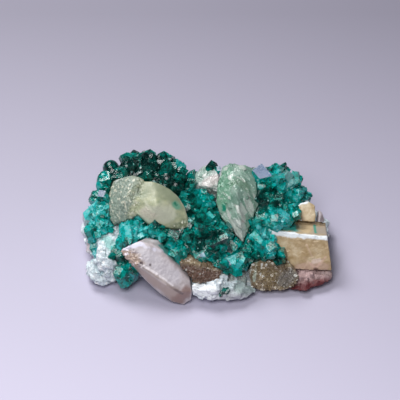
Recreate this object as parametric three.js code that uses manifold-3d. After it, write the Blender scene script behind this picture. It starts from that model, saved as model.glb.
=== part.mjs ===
// A dioptase specimen: a crust of green dioptase crystals on a lump of white calcite rock, with larger
// calcite crystals standing in it.
// Millimetres. X runs to the right, Y to the back and Z up. The origin is under the middle of the
// specimen, in the plane of the flat that it rests on.

import * as THREE from "three";
import { ConvexGeometry } from "three/addons/geometries/ConvexGeometry.js";
import { ConvexHull } from "three/addons/math/ConvexHull.js";
import { mergeVertices } from "three/addons/utils/BufferGeometryUtils.js";
import Module from "manifold-3d";

const wasm = await Module();
wasm.setup();

// Driving dimensions
const GAP = 0.3; // clear space between pieces that grow against each other
const FLOOR_BLOCK = 200; // edge of the block that cuts the underside flat
const CRUST_CLEARANCE = 0.6; // the crust stays this far above the surface that the rock rests on
const ROCK_ROUGHNESS = 0.14; // share of a lump's radius that its surface wanders in and out
const ROCK_WAVE = 0.55; // how quickly that surface wanders, in radians per millimetre
const ROCK_CHIP = 1.9; // the same for the chips on it
const ROCK_BREAKS = 9; // flat breaks on each lump
const BREAK_REACH = 0.84; // how far from the lump's middle they lie, as a share of its radius

// A dioptase crystal is a six-sided prism that ends in three rhombohedron faces. Those faces lean
// 51 degrees from the prism's axis, which the species' axial ratio of 0.534 gives.
const CAP_LEAN = Math.atan(1.233);
const CRYSTAL_RADIUS = [1.4, 2.6]; // smallest and largest, centre to edge, in the crust
const SPECK_RADIUS = [0.7, 1]; // the same in the speck
const CRYSTAL_LENGTH = [2.2, 3.6]; // in multiples of the radius, cap included
const CRYSTAL_SINK = 0.56; // share of the length that is below the crust's bed
const BURIED = 0.93; // a foot nearer a lump's middle than this share of its radius shows nothing
const CRYSTAL_LEAN = 0.75; // how far an axis strays from square to the bed
const LOWEST_FOOT = -0.4; // how far down a lump's side crystals stand, from 1 at its top to -1
const ROOT_TAPER = 0.82; // width of a calcite's root as a share of the part that shows
const SHARPEST = 0.2; // keeps a sharp corner's clearance short
const SAME_POINT = 1e-4; // corners nearer than this are one
const GOLDEN_ANGLE = Math.PI * (3 - Math.sqrt(5));
const SEED = 11;

// The white rock: uneven lumps grown into one. at is a lump's middle and half its half sizes.
const ROCK_LUMPS = [
  { at: [-15, 1.2, 4.2], half: [14, 12.8, 6.4], detail: 2 }, // left body
  { at: [0.5, -1.8, 3.2], half: [14, 13.6, 4.8], detail: 2 }, // middle body
  { at: [15, 1.8, 3.6], half: [13.8, 11.2, 4.8], detail: 2 }, // right body
  { at: [-27.2, 2.4, 5], half: [3, 8, 5], detail: 1 }, // left wall
  { at: [-23.8, -5.4, 4.8], half: [4, 6.8, 5.8], detail: 1 }, // white ridge down the front left
  { at: [-25.4, -8, 2.4], half: [3.9, 3.8, 3.6], detail: 1 }, // its foot
  { at: [-0.8, -13.4, 2.9], half: [6.4, 3.9, 3.6], detail: 1 }, // white knob at the middle of the front
  { at: [5, -13.4, 1.6], half: [6, 4.3, 3], detail: 1 }, // grey toe that reaches furthest forward
  { at: [21.8, -8.8, 1.4], half: [8, 5, 2.5], detail: 1 }, // rusty shelf below the tan block
  { at: [-15, 8.6, 7], half: [10.6, 5.2, 4.6], detail: 1 }, // back, under the high bank
  { at: [13, 8, 6.4], half: [11, 5.2, 4], detail: 1 }, // back, under the right bank
];

// The bed that the dioptase crystals stand on, and how many stand on each lump of it.
const CRUST_LUMPS = [
  { at: [-15, 10.4, 12.9], half: [8.2, 4.4, 5.2], detail: 1, crystals: 24 }, // high bank, back left
  { at: [-22.6, 7.4, 11], half: [3.4, 5.4, 5], detail: 0, crystals: 14 }, // its left shoulder
  { at: [-25.8, 1.2, 8.2], half: [1.8, 5, 3.4], detail: 0, crystals: 11 }, // strip down the left
  { at: [-6.4, 9.4, 9.6], half: [5.6, 4, 4], detail: 1, crystals: 11 }, // saddle between the banks
  { at: [-3, 0.5, 8], half: [8.4, 7, 3.8], detail: 1, crystals: 18 }, // hollow in the middle
  { at: [-1, -6, 6.6], half: [7.4, 5.4, 4.2], detail: 1, crystals: 14 }, // dark swell in front of it
  { at: [-15, -3.8, 7.6], half: [7.4, 4.6, 4.2], detail: 1, crystals: 16 }, // slope behind the prism
  { at: [13.4, 9.4, 10.8], half: [9, 4.2, 5], detail: 1, crystals: 19 }, // bank at the back right
  { at: [12.8, 1.6, 8.8], half: [6.8, 5.6, 4.2], detail: 1, crystals: 14 }, // slope below it
  { at: [12.4, -5, 6], half: [6, 4.6, 3.8], detail: 1, crystals: 11 }, // wedge beside the block
  { at: [6.2, -7.6, 5.2], half: [4.4, 4.2, 3.6], detail: 1, crystals: 8 }, // rim at the front
  { at: [7.4, -2.8, 7], half: [4, 3.8, 3.2], detail: 0, crystals: 6 }, // below the centre calcite
  { at: [13.4, -6.8, 5], half: [4.4, 3, 3.2], detail: 0, crystals: 7 }, // behind the brown calcite
  { at: [4, -10.6, 5.4], half: [2.4, 2.4, 2.4], detail: 0, crystals: 5 }, // trail down to the toe
  { at: [18.6, 6.2, 8], half: [4.2, 4.2, 4.2], detail: 0, crystals: 6 }, // right flank
  { at: [-18.6, -9.2, 4.6], half: [3.6, 3, 3.8], detail: 0, crystals: 8 }, // behind the prism's foot
];
const SPECK_LUMPS = [
  { at: [3, -15.8, 3.2], half: [1.2, 1.1, 1], detail: 0, crystals: 4 }, // on the toe
];

// Crystals big enough to be seen one by one. toward is the way that the cap points.
const SINGLE_CRYSTALS = [
  { at: [-14.1, 11, 17.8], toward: [-0.2, -0.2, 1], radius: 2.5, length: 5.6 },
  { at: [-10.2, 10.6, 17.2], toward: [0.5, -0.1, 1], radius: 2.3, length: 5.6 },
  { at: [-22.4, 10.6, 14.8], toward: [-0.4, 0.1, 1], radius: 2.4, length: 5.4 },
  { at: [-7.6, 12.4, 12.8], toward: [0.5, 0.2, 1], radius: 1.6, length: 5.2 },
  { at: [0.6, 12.2, 14.4], toward: [-0.1, 0.1, 1], radius: 1.8, length: 5 },
  { at: [12.6, 9.2, 14], toward: [-0.1, -0.8, 1], radius: 2.5, length: 6 },
  { at: [-25, 5.2, 12.6], toward: [-0.3, -0.6, 1], radius: 1.8, length: 4.8 },
  { at: [-1, 5, 11.6], toward: [0.1, -0.5, 1], radius: 2.6, length: 6 },
  { at: [-5, 3.2, 11.6], toward: [-0.3, -0.3, 1], radius: 2.2, length: 5.6 },
  { at: [-1.6, -1.6, 11.4], toward: [-0.2, -0.4, 1], radius: 3, length: 6.4 },
  { at: [2.4, -6.8, 10], toward: [0.4, -0.5, 1], radius: 3.2, length: 7 },
  { at: [-2.8, -6.4, 10], toward: [-0.3, -0.3, 1], radius: 2.9, length: 6.6 },
  { at: [-6.8, -8.8, 8.2], toward: [-0.1, -0.6, 0.8], radius: 2.7, length: 5.8 },
  { at: [13.8, 3.4, 12.4], toward: [0.1, -0.5, 1], radius: 2.9, length: 6.6 },
  { at: [17, -1, 11], toward: [0.2, -0.5, 1], radius: 2.4, length: 6 },
  { at: [11.8, -2.2, 11.2], toward: [-0.3, -0.5, 1], radius: 2.6, length: 6 },
  { at: [12.2, -7.4, 8.6], toward: [0.1, -0.5, 1], radius: 2.4, length: 5.8 },
];

// Calcite crystals. corners are the points that show, and root is how far back the crystal runs into
// the rock behind them.
const SMOOTH_LEFT = {
  corners: [
    [-15.6, 5.2, 18.5],
    [-13.5, 4.7, 19],
    [-11.2, 4.2, 18.5],
    [-8.9, 3.2, 17.5],
    [-7, 1.9, 16.2],
    [-5.8, 0.5, 14.6],
    [-5.1, -1.2, 13],
    [-4.9, -3.4, 11.3],
    [-8.4, -3.9, 11.8],
    [-11.6, -4, 12.5],
    [-14.4, -3.5, 13],
    [-16.7, -1.8, 14.3],
    [-17.7, 0.9, 16.5],
    [-12.4, -1.6, 17.2],
  ],
  root: [-1, 3.5, -5],
};
const ROUGH_LEFT = {
  corners: [
    [-22.8, 7.5, 16.5],
    [-20.6, 7, 18],
    [-18, 6.5, 19.2],
    [-15.6, 5.7, 19],
    [-17, -1.8, 14.3],
    [-18.6, -2.1, 13.3],
    [-20.5, -2.1, 12.3],
    [-22.7, -1.7, 11.2],
    [-24.1, 0.6, 11.8],
    [-24.4, 3.1, 13],
    [-19.8, 0.8, 17.3],
  ],
  root: [1, 3, -5],
};
const CENTRE = {
  corners: [
    [2.9, 12, 16.5],
    [4.7, 12.3, 17.5],
    [8.3, 11.6, 17.5],
    [10.2, 11.3, 16.5],
    [11, 5.7, 15],
    [11.5, 3.1, 13.3],
    [9.6, 0.1, 12],
    [7.6, -6, 9.6],
    [5.3, -3.1, 10.6],
    [2.6, -0.2, 12],
    [1.6, 2.9, 13.5],
    [1.6, 6.4, 15],
    [6.2, 2.5, 17.6],
    [6.9, -1.5, 14],
  ],
  root: [0, 2.5, -5],
};
const BACK = {
  corners: [
    [-4, 9.1, 13],
    [-3.3, 12.8, 14],
    [-1.4, 14.2, 15],
    [1, 13.3, 15.5],
    [2.1, 9.9, 15.5],
    [1.9, 7.2, 13.5],
    [-1.2, 7.6, 14.5],
  ],
  root: [0, 1, -6],
};
const LONG_PRISM = {
  corners: [
    [-20.7, -10.7, 11.5],
    [-18.9, -10, 12.5],
    [-16.2, -8.7, 12.8],
    [-13.4, -9.4, 12.5],
    [-11.3, -10.2, 11.3],
    [-8.6, -12.8, 8.4],
    [-4.7, -14.5, 5.5],
    [-4.2, -16.2, 3.6],
    [-4.4, -16.7, 1.4],
    [-6.1, -17.4, 0.4],
    [-8.8, -17, 1],
    [-11.6, -15.9, 2.6],
    [-14.4, -14.5, 4.8],
    [-19.1, -11.9, 9.8],
    [-16.6, -13.6, 9.6],
    [-10.2, -16.2, 6],
    [-6.7, -16.8, 4.2],
  ],
  root: [1, 4, -1],
};
const BLOCK = {
  corners: [
    [13.7, -3.5, 11],
    [27.2, -5.3, 10.5],
    [28.4, -10, 4],
    [19.1, -9.2, 3.8],
  ],
  root: [1, 8, -2.4],
};
const BROWN_RIGHT = {
  corners: [
    [9.5, -10.1, 6.8],
    [12, -9.6, 7],
    [15.1, -9.9, 6.6],
    [19, -10.5, 5.6],
    [20.6, -11.9, 4],
    [19.7, -13.3, 2.4],
    [17.4, -13.8, 1.6],
    [12.1, -14.1, 1.6],
    [9.5, -13.3, 1.8],
    [9, -11.6, 4],
  ],
  root: [0, 4, 0.4],
};
const BROWN_FRONT = {
  corners: [
    [-7, -11.6, 8.8],
    [-4.2, -11.7, 8.6],
    [-1.2, -12.1, 8],
    [2.7, -12.9, 6.8],
    [1.8, -14, 4.6],
    [-1.2, -14, 4.2],
    [-4.7, -14.1, 4.4],
    [-6.3, -13.1, 6],
  ],
  root: [0, 4, -0.6],
};
const TOOTH = {
  corners: [
    [20, 3.4, 11],
    [21.2, 4, 12.4],
    [23.1, 4.3, 12.8],
    [24.7, 3.7, 12],
    [24.9, 1.6, 10.5],
    [24.4, -0.8, 8.2],
    [21.9, -0.8, 8.2],
    [20.3, 1.1, 9],
  ],
  root: [0, 2.4, -4.6],
};
const SIDE_TOOTH = {
  corners: [
    [25.6, 3.2, 11.2],
    [26.4, 2.6, 10.8],
    [27.2, 1.1, 9],
    [27.2, -0.5, 7.6],
    [25.4, -0.9, 8],
  ],
  root: [-0.4, 2.4, -4],
};
const CLEAR_FRONT = {
  corners: [
    [5.1, -11.4, 6.5],
    [7.1, -11.5, 6],
    [8.4, -12.5, 4],
    [8.2, -14.3, 1.5],
    [6, -14.6, 1.5],
    [4.4, -13.8, 3.5],
  ],
  root: [0, 3, 0],
};

const COLOURS = {
  rock: { color: 0xc7cfd2, roughness: 0.85 },
  dioptase: { color: 0x0b6f63, roughness: 0.18 },
  pale: { color: 0xa9b196, roughness: 0.25 },
  clear: { color: 0x8fae9c, roughness: 0.15 },
  mauve: { color: 0xa89c9d, roughness: 0.55 },
  tan: { color: 0xb39b76, roughness: 0.4 },
  brown: { color: 0x7d6d5c, roughness: 0.35 },
};

// A number source that gives the same run of numbers from 0 to 1 every time.
function numberSource(seed) {
  let state = seed;
  return () => {
    state = (state + 0x6d2b79f5) | 0;
    let mixed = Math.imul(state ^ (state >>> 15), state | 1);
    mixed = (mixed + Math.imul(mixed ^ (mixed >>> 7), mixed | 61)) ^ mixed;
    return ((mixed ^ (mixed >>> 14)) >>> 0) / 2 ** 32;
  };
}

function between([low, high], share) {
  return low + (high - low) * share;
}

// A closed geometry as a solid.
function solidOf(geometry) {
  const bare = geometry.clone();
  bare.deleteAttribute("normal");
  bare.deleteAttribute("uv");
  const merged = mergeVertices(bare, SAME_POINT);
  return new wasm.Manifold(
    new wasm.Mesh({
      numProp: 3,
      vertProperties: merged.attributes.position.array,
      triVerts: new Uint32Array(merged.index.array),
    }),
  );
}

// The largest body of a solid, without the crumbs that a cut leaves.
function largestBody(solid) {
  return solid.decompose().reduce((best, body) => (body.volume() > best.volume() ? body : best));
}

function geometryOf(solid) {
  const { vertProperties, triVerts } = solid.getMesh();
  return new THREE.BufferGeometry()
    .setAttribute("position", new THREE.BufferAttribute(vertProperties, 3))
    .setIndex(new THREE.BufferAttribute(triVerts, 1))
    .toNonIndexed();
}

function joined(solids) {
  return solids.reduce((sum, solid) => sum.add(solid));
}

function cutBy(solid, cutters) {
  return cutters.reduce((left, cutter) => left.subtract(cutter), solid);
}

// The ith of count ways spread evenly over a ball, from straight up down to a lowest rise.
function spreadWay(i, count, lowest, turn) {
  const rise = 1 - ((1 - lowest) * (i + 0.5)) / count;
  const angle = i * GOLDEN_ANGLE + turn;
  const ring = Math.sqrt(1 - rise * rise);
  return new THREE.Vector3(ring * Math.cos(angle), ring * Math.sin(angle), rise);
}

// An uneven lump, margin millimetres larger than its half sizes, with flat breaks on it.
function lump({ at, half, detail, breaks = 0 }, margin = 0) {
  const broken = Array.from({ length: breaks }, (_, i) => spreadWay(i, breaks, -1, at[0] + at[1]));
  const geometry = new THREE.IcosahedronGeometry(1, detail);
  const place = geometry.attributes.position;
  const point = new THREE.Vector3();
  for (let i = 0; i < place.count; i++) {
    point.fromBufferAttribute(place, i);
    const [x, y, z] = point.toArray().map((way, axis) => at[axis] + way * half[axis]);
    const wander =
      Math.sin(ROCK_WAVE * (x + 1.7 * z) + 1) +
      Math.sin(ROCK_WAVE * (1.3 * y - x) + 2) +
      Math.sin(ROCK_WAVE * (1.9 * z + y)) +
      Math.sin(ROCK_CHIP * (x - 1.4 * y)) * Math.sin(ROCK_CHIP * (1.2 * z + y));
    const flat = Math.max(BREAK_REACH, ...broken.map((way) => way.dot(point)));
    const reach = (1 + (ROCK_ROUGHNESS * wander) / 3) * (breaks ? BREAK_REACH / flat : 1);
    place.setXYZ(
      i,
      at[0] + point.x * (half[0] * reach + margin),
      at[1] + point.y * (half[1] * reach + margin),
      at[2] + point.z * (half[2] * reach + margin),
    );
  }
  return solidOf(geometry);
}

// How far a point is from a lump's middle, as a share of the way to the lump's surface.
function shareOfLump({ at, half }, point) {
  return Math.hypot(...point.toArray().map((value, axis) => (value - at[axis]) / half[axis]));
}

// A dioptase crystal along +Z, with its blunt end at the origin.
function dioptaseGeometry(radius, length) {
  const drop = radius * Math.tan(CAP_LEAN);
  const corners = [new THREE.Vector3(0, 0, length)];
  for (let side = 0; side < 6; side++) {
    const angle = (side * Math.PI) / 3;
    const x = radius * Math.cos(angle);
    const y = radius * Math.sin(angle);
    // A cap face leans over every second edge of the prism and cuts it lower.
    corners.push(new THREE.Vector3(x, y, length - (side % 2 ? drop : drop / 2)));
    corners.push(new THREE.Vector3(x, y, 0));
  }
  return new ConvexGeometry(corners);
}

// A dioptase crystal sunk in the bed at its foot, with its cap pointing toward.
function dioptaseCrystal({ foot, toward, radius, length, spin }) {
  const turn = new THREE.Quaternion().setFromUnitVectors(new THREE.Vector3(0, 0, 1), toward);
  const roll = new THREE.Quaternion().setFromAxisAngle(toward, spin);
  const start = foot.clone().addScaledVector(toward, -CRYSTAL_SINK * length);
  const place = new THREE.Matrix4().compose(
    start,
    roll.multiply(turn),
    new THREE.Vector3(1, 1, 1),
  );
  return solidOf(dioptaseGeometry(radius, length).applyMatrix4(place));
}

// Crystals spread evenly over the upper side of each lump, where no other lump or calcite buries them.
// Small ones are the more common.
function crystalsOn(lumps, sizes, buriedBy, random) {
  const made = [];
  for (const bed of lumps) {
    for (let i = 0; i < bed.crystals; i++) {
      const out = spreadWay(i, bed.crystals, LOWEST_FOOT, random());
      const foot = new THREE.Vector3(...bed.at.map((v, k) => v + out.toArray()[k] * bed.half[k]));
      const toward = new THREE.Vector3(...out.toArray().map((v, k) => v / bed.half[k])).normalize();
      const stray = new THREE.Vector3(random() - 0.5, random() - 0.5, random() - 0.5);
      toward.addScaledVector(stray, CRYSTAL_LEAN).normalize();
      const radius = between(sizes, random() ** 2);
      const length = radius * between(CRYSTAL_LENGTH, random());
      const spin = random() * Math.PI;
      if (buriedBy(foot, bed)) continue;
      made.push(dioptaseCrystal({ foot, toward, radius, length, spin }));
    }
  }
  return made;
}

// The crystals that are placed one by one.
function singleCrystals(random) {
  return SINGLE_CRYSTALS.map(({ at, toward, radius, length }) =>
    dioptaseCrystal({
      foot: new THREE.Vector3(...at),
      toward: new THREE.Vector3(...toward).normalize(),
      radius,
      length,
      spin: random() * Math.PI,
    }),
  );
}

// A calcite crystal's corners with those of its root, which is a little narrower.
function cornersWithRoot({ corners, root }) {
  const shown = corners.map((corner) => new THREE.Vector3(...corner));
  const middle = shown.reduce((sum, c) => sum.add(c), new THREE.Vector3()).divideScalar(shown.length);
  const back = new THREE.Vector3(...root);
  const buried = shown.map((c) => c.clone().sub(middle).multiplyScalar(ROOT_TAPER).add(middle).add(back));
  return [...shown, ...buried];
}

// A calcite crystal, the hull of its corners.
function calcite(form) {
  return solidOf(new ConvexGeometry(cornersWithRoot(form)));
}

// The same crystal swollen by the gap on every side, to cut its neighbours with. Each corner moves
// out between the faces that meet there until it clears all of them by the gap.
function calciteCutter(form) {
  const around = new Map();
  for (const face of calciteHull(form).faces) {
    let edge = face.edge;
    do {
      const corner = edge.head().point;
      around.set(corner, [...(around.get(corner) ?? []), face.normal]);
      edge = edge.next;
    } while (edge !== face.edge);
  }
  const corners = [...around].map(([corner, normals]) => {
    const out = normals.reduce((sum, normal) => sum.add(normal), new THREE.Vector3()).normalize();
    const least = Math.min(...normals.map((normal) => normal.dot(out)));
    return corner.clone().addScaledVector(out, GAP / Math.max(least, SHARPEST));
  });
  return solidOf(new ConvexGeometry(corners));
}

// A calcite crystal that stopped growing where it met others.
function calciteBeside(form, others) {
  return largestBody(cutBy(calcite(form), others.map(calciteCutter)));
}

function calciteHull(form) {
  return new ConvexHull().setFromPoints(cornersWithRoot(form));
}

// Everything below a level, as a solid that cuts pieces off there.
function belowLevel(z) {
  const block = new THREE.BoxGeometry(FLOOR_BLOCK, FLOOR_BLOCK, FLOOR_BLOCK);
  return solidOf(block.translate(0, 0, z - FLOOR_BLOCK / 2));
}

// The rock's lumps grown into one, margin millimetres larger all round.
function rockBody(margin) {
  return joined(ROCK_LUMPS.map((one) => lump({ ...one, breaks: ROCK_BREAKS }, margin)));
}

const ALL_CALCITE = [
  SMOOTH_LEFT,
  ROUGH_LEFT,
  CENTRE,
  BACK,
  LONG_PRISM,
  BLOCK,
  BROWN_RIGHT,
  BROWN_FRONT,
  TOOTH,
  SIDE_TOOTH,
  CLEAR_FRONT,
];

// A crust: its beds and crystals grown into one, cut clear of the rock, the calcite and the surface.
function crustSolid(lumps, sizes, singles, cutters, random) {
  const hulls = ALL_CALCITE.map(calciteHull);
  const others = [...CRUST_LUMPS, ...ROCK_LUMPS];
  const buried = (foot, bed) =>
    others.some((other) => other !== bed && shareOfLump(other, foot) < BURIED) ||
    hulls.some((hull) => hull.containsPoint(foot));
  const beds = lumps.map((one) => lump(one));
  const grown = joined([...beds, ...crystalsOn(lumps, sizes, buried, random), ...singles]);
  return largestBody(cutBy(grown, [belowLevel(CRUST_CLEARANCE), ...cutters]));
}

function piece(name, solid, { color, roughness }) {
  const material = new THREE.MeshStandardMaterial({ color, roughness, metalness: 0, flatShading: true });
  const mesh = new THREE.Mesh(geometryOf(solid), material);
  mesh.name = name;
  return mesh;
}

function buildSpecimen() {
  const random = numberSource(SEED);
  const cutters = ALL_CALCITE.map(calciteCutter);
  const rock = largestBody(cutBy(rockBody(0), [belowLevel(0), ...cutters]));
  const around = [rockBody(GAP), ...cutters];
  const crust = crustSolid(CRUST_LUMPS, CRYSTAL_RADIUS, singleCrystals(random), around, random);
  const speck = crustSolid(SPECK_LUMPS, SPECK_RADIUS, [], around, random);
  const leftPair = calcite(SMOOTH_LEFT).add(calcite(ROUGH_LEFT));

  const group = new THREE.Group();
  group.add(
    piece("matrix_rock", rock, COLOURS.rock),
    piece("dioptase_crust", crust, COLOURS.dioptase),
    piece("dioptase_speck", speck, COLOURS.dioptase),
    piece("calcite_left_pair", leftPair, COLOURS.pale),
    piece("calcite_centre", calcite(CENTRE), COLOURS.clear),
    piece("calcite_back", calcite(BACK), COLOURS.clear),
    piece("calcite_long_prism", calcite(LONG_PRISM), COLOURS.mauve),
    piece("calcite_block", calcite(BLOCK), COLOURS.tan),
    piece("calcite_brown_right", calciteBeside(BROWN_RIGHT, [BLOCK]), COLOURS.brown),
    piece("calcite_brown_front", calciteBeside(BROWN_FRONT, [LONG_PRISM]), COLOURS.brown),
    piece("calcite_tooth", calciteBeside(TOOTH, [BLOCK]), COLOURS.tan),
    piece("calcite_side_tooth", calciteBeside(SIDE_TOOTH, [BLOCK, TOOTH]), COLOURS.mauve),
    piece("calcite_clear_front", calcite(CLEAR_FRONT), COLOURS.clear),
  );
  return group;
}

export default buildSpecimen();
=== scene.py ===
import math

import bmesh
import bpy
import numpy as np
from mathutils import Euler, Matrix, Vector, bvhtree, kdtree, noise


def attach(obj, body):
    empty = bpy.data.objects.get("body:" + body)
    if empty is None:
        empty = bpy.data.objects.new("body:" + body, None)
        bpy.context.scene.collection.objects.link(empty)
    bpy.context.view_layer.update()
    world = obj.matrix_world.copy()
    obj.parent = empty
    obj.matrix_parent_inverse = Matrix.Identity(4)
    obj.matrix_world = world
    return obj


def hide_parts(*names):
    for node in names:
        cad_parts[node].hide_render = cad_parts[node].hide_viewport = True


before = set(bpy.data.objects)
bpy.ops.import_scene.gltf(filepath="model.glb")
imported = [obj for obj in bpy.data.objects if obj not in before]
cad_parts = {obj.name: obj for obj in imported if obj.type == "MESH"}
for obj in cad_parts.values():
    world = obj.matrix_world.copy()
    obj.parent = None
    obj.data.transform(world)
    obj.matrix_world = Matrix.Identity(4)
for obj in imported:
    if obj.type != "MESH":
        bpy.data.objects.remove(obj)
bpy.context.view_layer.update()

bl_info = {
    "name": "Dioptase Specimen",
    "version": (1, 0, 0),
    "blender": (4, 5, 0),
    "location": "3D View > Sidebar > Dioptase",
    "description": "Dresses a dioptase specimen: green crystals on white calcite rock with calcite crystals",
    "category": "Add Mesh",
}

MM = 0.001
SAME_POINT = 1e-6
WHOLE_TURN = 2 * math.pi

# Dioptase ends in rhombohedron faces that lean so far from the prism that a cap over a prism one
# unit in radius is this deep.
CAP_DEPTH = 1.233
CRYSTAL_LENGTH = 4.0  # a crystal's length in radii, its buried foot included
# Calcite cleaves into rhombs whose faces meet at this angle.
CLEAVAGE_ANGLE = math.radians(74.9)

# How bright the crust is, from 0 where it is thick and dark to 1 where it is thin and the white rock
# lights it from below: its usual tone, and at its main places the middle and reach in mm, and the tone.
USUAL_TONE = 0.4
CRUST_TONES = [
    ((-14.0, 9.5, 17.5), 8.5, 0.06),
    ((0.5, -5.5, 11.5), 5.4, 0.16),
    ((-20.5, 10.0, 17.5), 3.4, 0.12),
    ((-19.0, 13.4, 18.2), 3.6, 0.02),
    ((12.2, 3.8, 13.9), 4.2, 0.16),
    ((16.2, 5.4, 12.4), 3.2, 0.14),
    ((-20.5, -12.0, 5.0), 3.0, 0.5),
    ((-22.0, 4.0, 14.5), 2.6, 0.15),
    ((21.0, 7.0, 12.0), 4.5, 0.66),
    ((17.0, -0.9, 13.1), 2.6, 0.95),
    ((14.0, -5.5, 10.8), 3.4, 0.84),
    ((-18.5, -5.6, 12.2), 3.4, 1.0),
    ((-13.9, -6.6, 11.0), 2.8, 0.78),
    ((-27.0, 1.0, 11.5), 4.6, 0.88),
    ((-26.5, -3.6, 9.0), 4.0, 0.68),
    ((-25.9, 7.0, 15.5), 2.6, 0.36),
    ((-7.3, 13.0, 15.8), 2.2, 0.8),
    ((-2.4, 6.0, 13.0), 3.0, 0.7),
    ((1.5, -1.6, 12.8), 2.4, 0.72),
    ((-8.6, -9.6, 8.6), 3.2, 0.5),
    ((5.5, -9.4, 8.4), 3.0, 0.56),
    ((16.5, 9.0, 15.5), 3.0, 0.76),
]

# The way a face looks that mirrors the front lamp to the camera, and the way most crystals grow.
TO_LIGHT = (-0.07, -0.6, 0.8)
UPWARDS = (0.0, 0.1, 1.0)

# Single crystals that stand out: the middle of a cap face in mm, the way that face looks, the way the crystal
# grows, its radius in mm, its tone, and the colour and share of any film on that face. Most films are painted
# reflections of the lamps and the pale room, and painted glints; the cyan, teal and milky-green ones are the
# crystals' own tint.
SINGLE_CRYSTALS = [
    ((-25.3, 3.4, 16.0), TO_LIGHT, (-0.5, 0.5, 0.7), 1.5, 0.5, "#8EA4CC", 0.85),
    ((0.6, 13.2, 16.0), (0.1, -0.35, 0.93), UPWARDS, 1.7, 0.1, None, 0),
    ((2.0, 12.0, 16.0), TO_LIGHT, (0.6, 0.5, 0.6), 0.9, 0.5, "#9DB2D2", 0.8),
    ((11.9, 9.2, 17.2), (-0.02, -0.6, 0.8), (0.1, 0.6, 0.8), 2.9, 0.5, "#6F90C4", 0.95),
    ((15.3, 7.8, 17.2), (0.2, -0.6, 0.77), UPWARDS, 1.4, 0.6, "#7FC9B8", 0.3),
    ((18.7, 9.2, 15.9), (0.3, -0.8, 0.5), UPWARDS, 1.7, 0.7, None, 0),
    ((12.2, 3.6, 14.2), (0.3, -0.8, 0.52), UPWARDS, 2.3, 0.12, None, 0),
    ((15.8, 4.2, 13.6), (0.1, -0.85, 0.5), UPWARDS, 2.4, 0.12, None, 0),
    ((16.6, -0.8, 13.3), (0.15, -0.5, 0.85), (0.0, 0.2, 0.9), 2.1, 0.95, "#14CBD4", 0.5),
    ((13.0, 0.2, 13.2), (0.1, -0.85, 0.5), UPWARDS, 2.2, 0.3, None, 0),
    ((13.8, -4.0, 11.3), TO_LIGHT, UPWARDS, 0.6, 0.8, "#7FDCE0", 0.6),
    ((12.2, -3.1, 11.6), (0.2, -0.6, 0.77), UPWARDS, 0.6, 0.8, "#A8EFEA", 0.5),
    ((-1.7, -10.0, 9.3), TO_LIGHT, UPWARDS, 1.0, 0.5, "#86BBE0", 0.7),
    ((-27.6, -3.4, 8.0), (-0.2, -0.5, 0.84), (-0.4, 0.1, 0.9), 1.0, 0.8, None, 0),
    ((-27.4, -5.2, 7.5), (-0.1, -0.6, 0.8), (-0.5, 0.0, 0.9), 1.1, 0.7, None, 0),
    ((-26.9, -7.0, 7.0), (-0.2, -0.5, 0.84), (-0.4, -0.1, 0.9), 0.9, 0.75, None, 0),
    ((-21.3, -12.3, 6.7), (-0.15, -0.62, 0.77), (-0.3, -0.2, 0.9), 1.4, 0.6, "#9AC9B4", 0.35),
    ((-7.1, 12.2, 16.4), (0.2, -0.75, 0.62), UPWARDS, 1.9, 0.82, "#12BDB2", 0.5),
    ((4.1, -11.4, 8.2), TO_LIGHT, (0.1, -0.2, 0.95), 0.9, 0.5, "#A6A4D8", 0.6),
    ((5.1, -8.2, 9.8), (0.1, -0.6, 0.8), UPWARDS, 1.5, 0.45, None, 0),
    ((1.0, -8.6, 11.0), (-0.3, -0.8, 0.5), UPWARDS, 1.8, 0.25, None, 0),
    ((-9.0, -8.0, 10.6), (0.3, -0.8, 0.5), UPWARDS, 2.0, 0.42, None, 0),
    ((-6.6, -9.8, 9.8), (0.2, -0.6, 0.77), UPWARDS, 1.7, 0.6, None, 0),
    ((-16.6, -1.2, 13.2), (0.1, -0.8, 0.6), UPWARDS, 2.0, 0.62, None, 0),
    ((-3.1, 3.0, 13.6), (0.3, -0.8, 0.5), UPWARDS, 1.9, 0.3, None, 0),
    ((-0.8, -2.9, 13.4), (0.3, -0.8, 0.5), UPWARDS, 2.0, 0.3, None, 0),
    ((3.6, -4.4, 11.6), (-0.2, -0.85, 0.5), UPWARDS, 2.0, 0.2, None, 0),
]
# Crystals whose edges are rounded off, described in the same way.
ROUNDED_CRYSTALS = [
    ((-14.2, 10.8, 18.7), (0.1, -0.8, 0.6), UPWARDS, 2.7, 0.1, None, 0),
    ((-10.5, 10.0, 18.3), (0.25, -0.76, 0.6), UPWARDS, 2.7, 0.06, None, 0),
    ((-9.3, 7.4, 17.4), (0.3, -0.8, 0.52), (0.2, 0.2, 0.9), 3.0, 0.04, None, 0),
    ((-12.6, 8.2, 17.6), (0.0, -0.84, 0.54), UPWARDS, 2.3, 0.08, None, 0),
    ((-16.6, 9.4, 17.7), (-0.25, -0.78, 0.57), UPWARDS, 2.4, 0.08, None, 0),
    ((-19.2, 10.2, 17.7), (0.2, -0.8, 0.57), UPWARDS, 2.2, 0.12, None, 0),
    ((-24.3, 11.2, 17.2), (-0.3, -0.78, 0.55), (-0.1, 0.2, 1.0), 2.8, 0.12, None, 0),
    ((-21.4, 9.4, 16.8), (0.35, -0.85, 0.4), UPWARDS, 1.9, 0.3, None, 0),
    ((-6.9, 7.2, 15.7), (0.35, -0.75, 0.56), (0.3, 0.1, 0.9), 2.6, 0.06, None, 0),
    ((-26.2, 7.0, 15.8), (-0.35, -0.76, 0.55), (-0.2, 0.2, 0.9), 2.1, 0.7, None, 0),
    ((-24.7, 7.6, 17.2), (0.1, -0.84, 0.53), (0.0, 0.3, 1.0), 2.5, 0.5, None, 0),
]
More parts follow.
